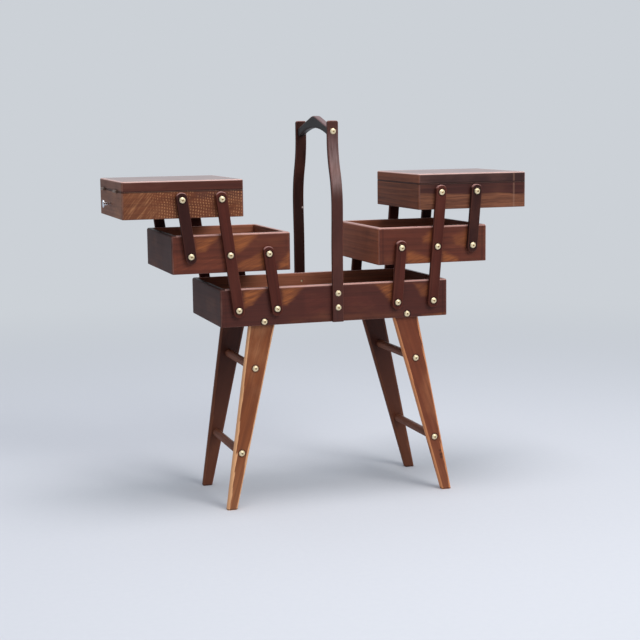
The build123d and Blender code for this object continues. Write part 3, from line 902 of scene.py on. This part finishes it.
@functools.cache
def screw_mesh(length, head_radius):
    """A domed wood screw along Y with a cross recess: its seat at 0, its head in front. The walls of
    the recess have the second material."""
    sphere = dome_radius(head_radius)
    rise = math.asin(head_radius / sphere)
    profile = [(0.0, -HEAD_HEIGHT)]
    for i in range(1, DOME_STEPS + 1):
        angle = rise * i / DOME_STEPS
        profile.append((sphere * math.sin(angle), -HEAD_HEIGHT + sphere * (1 - math.cos(angle))))
    profile[-1] = (head_radius - HEAD_EDGE, profile[-1][1] - 0.4 * HEAD_EDGE)
    profile += [(head_radius, -HEAD_RIM + HEAD_EDGE), (head_radius, 0.0), (SHANK_RADIUS, 0.0)]
    profile += [(SHANK_RADIUS, length - TIP_LENGTH), (0.0, length)]
    mesh = recessed("screw", spun(profile), cross_cutter())
    for polygon in mesh.polygons:
        across, deep, up = polygon.center
        reach = math.hypot(across, up)
        if reach < RECESS_REACH:
            surface = -HEAD_HEIGHT + sphere - math.sqrt(sphere ** 2 - reach ** 2)
            polygon.material_index = 1 if surface + RECESS_PLAY < deep < 0.0 else 0
    return mesh


def combined(name, placed):
    """One object of many copies: placed is a list of (mesh, matrix)."""
    work = bmesh.new()
    for mesh, matrix in placed:
        start = len(work.verts)
        work.from_mesh(mesh)
        work.verts.ensure_lookup_table()
        bmesh.ops.transform(work, matrix=matrix, verts=work.verts[start:])
    made = mesh_object(name, work)
    for polygon in made.data.polygons:
        polygon.use_smooth = True
    made.data.set_sharp_from_angle(angle=math.radians(SHARP_ANGLE))
    return made


def screws(node_name, body, materials):
    """Stands for a node of screws: the same screws with cross recesses, each turned its own way."""
    placed = []
    for number, (low, high) in enumerate(islands(node_name)):
        face = -1 if low.y + high.y < 0 else 1
        seat = (low.y if face < 0 else high.y) - face * HEAD_HEIGHT
        middle = Vector(((low.x + high.x) / 2, seat, (low.z + high.z) / 2))
        length = high.y - low.y - HEAD_HEIGHT
        mesh = screw_mesh(round(length, 5), round((high.x - low.x) / 2, 5))
        spin = Matrix.Rotation(math.radians(FIRST_SPIN + SPIN_STEP * number), 4, "Y")
        aim = Matrix.Identity(4) if face < 0 else Matrix.Rotation(math.pi, 4, "Z")
        placed.append((mesh, Matrix.Translation(middle) @ aim @ spin))
    made = combined(f"{node_name}_detailed", placed)
    for material in materials:
        made.data.materials.append(material)
    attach(made, body)
    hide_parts(node_name)


def dress_metal():
    """The screws, knobs and hinges."""
    brass = metal("screw_brass", *BRASS, roughness=0.5, metallic=0.7)
    recess = metal("screw_recess", *RECESS_BRASS, roughness=0.6, metallic=0.3)
    aged = metal("hinge_brass", *AGED_BRASS, roughness=0.5, scratch=0.3)
    chrome = metal("knob_chrome", *CHROME, roughness=0.2, scratch=0.08)
    for body in ("base", "left_tray", "right_tray", "left_box", "right_box"):
        screws(f"{body}_screws", body, (brass, recess))
    for side in SIDES:
        give(f"{side}_knob", chrome)
        give(f"{side}_box_hinge_leaves", aged)
        give(f"{side}_lid_hinge_leaves", aged)


def stage():
    """A plain pale floor that fades into the background far off."""
    work = bmesh.new()
    bmesh.ops.create_grid(work, x_segments=1, y_segments=1, size=FLOOR_SIZE)
    floor = mesh_object("floor", work)
    graph = Graph(bpy.data.materials.new("floor"))
    place = graph.coordinates.outputs["Object"]
    grit = graph.noise(place, FLOOR_GRIT, detail=5.0, roughness=0.7)
    color = graph.mix(graph.times(grit, 0.5), *FLOOR)
    near = graph.surface(color, 0.85, graph.bump(grit, GRIT_RELIEF, 0.2), Specular_IOR_Level=0.2)
    far = graph.node("ShaderNodeEmission", {"Color": BACKGROUND}).outputs[0]
    seen = graph.node("ShaderNodeLightPath").outputs["Is Camera Ray"]
    share = graph.times(graph.step(graph.measure("LENGTH", place), *FLOOR_FADE), seen)
    floor.data.materials.append(graph.finish(graph.mix_shader(share, near, far)))


def area_light(name, place, size, power, color):
    """A soft square light aimed at the object."""
    light = bpy.data.lights.new(name, "AREA")
    light.shape = "SQUARE"
    light.size = size
    light.energy = power
    light.color = color
    holder = bpy.data.objects.new(name, light)
    holder.location = place
    aim = Vector(LIGHT_TARGET) - Vector(place)
    holder.rotation_euler = aim.to_track_quat("-Z", "Y").to_euler()
    bpy.context.scene.collection.objects.link(holder)


def world():
    """An even pale sky for the light, the pale background, and for gloss a room that is bright behind
    the object and dim in front of it."""
    graph = Graph(bpy.data.worlds.new("sky"))
    paths = graph.node("ShaderNodeLightPath").outputs
    seen = graph.math("MAXIMUM", paths["Is Camera Ray"], paths["Is Transmission Ray"])
    toward = graph.measure("DOT_PRODUCT", graph.coordinates.outputs["Generated"], BRIGHT_SIDE)
    brightness = graph.mix(graph.step(toward, *ROOM_TURN), ROOM_DIM, 1.0, "FLOAT")

    def glow(color, strength):
        return graph.node("ShaderNodeBackground", {"Color": color, "Strength": strength}).outputs[0]

    unseen = graph.mix_shader(paths["Is Glossy Ray"], glow(SKY, SKY_STRENGTH), glow(BACKGROUND, brightness))
    whole = graph.mix_shader(seen, unseen, glow(BACKGROUND, 1.0))
    graph.node("ShaderNodeOutputWorld", {"Surface": whole})
    bpy.context.scene.world = graph.owner


def camera():
    """The photograph's view."""
    lens = bpy.data.cameras.new("camera")
    lens.sensor_width = SENSOR_MM
    lens.lens = FOCAL_PIXELS / IMAGE_PIXELS * SENSOR_MM
    holder = bpy.data.objects.new("camera", lens)
    bpy.context.scene.collection.objects.link(holder)
    yaw = Matrix.Rotation(math.radians(CAMERA_YAW), 4, "Z")
    pitch = Matrix.Rotation(math.radians(CAMERA_PITCH), 4, "X")
    roll = Matrix.Rotation(math.radians(CAMERA_ROLL), 4, "Y")
    level = Matrix.Rotation(math.pi / 2, 4, "X")
    holder.matrix_world = Matrix.Translation(CAMERA_PLACE) @ yaw @ pitch @ roll @ level
    bpy.context.scene.camera = holder


dress_boxes()
dress_frame()
dress_metal()
stage()
area_light("overhead", place=(0.1, -0.5, 3.0), size=1.3, power=38.0, color=(1.0, 0.96, 0.96))
area_light("key", place=(1.3, -3.3, 2.6), size=1.7, power=75.0, color=(1.0, 0.98, 0.95))
world()
camera()
bpy.context.scene.view_settings.view_transform = "Standard"
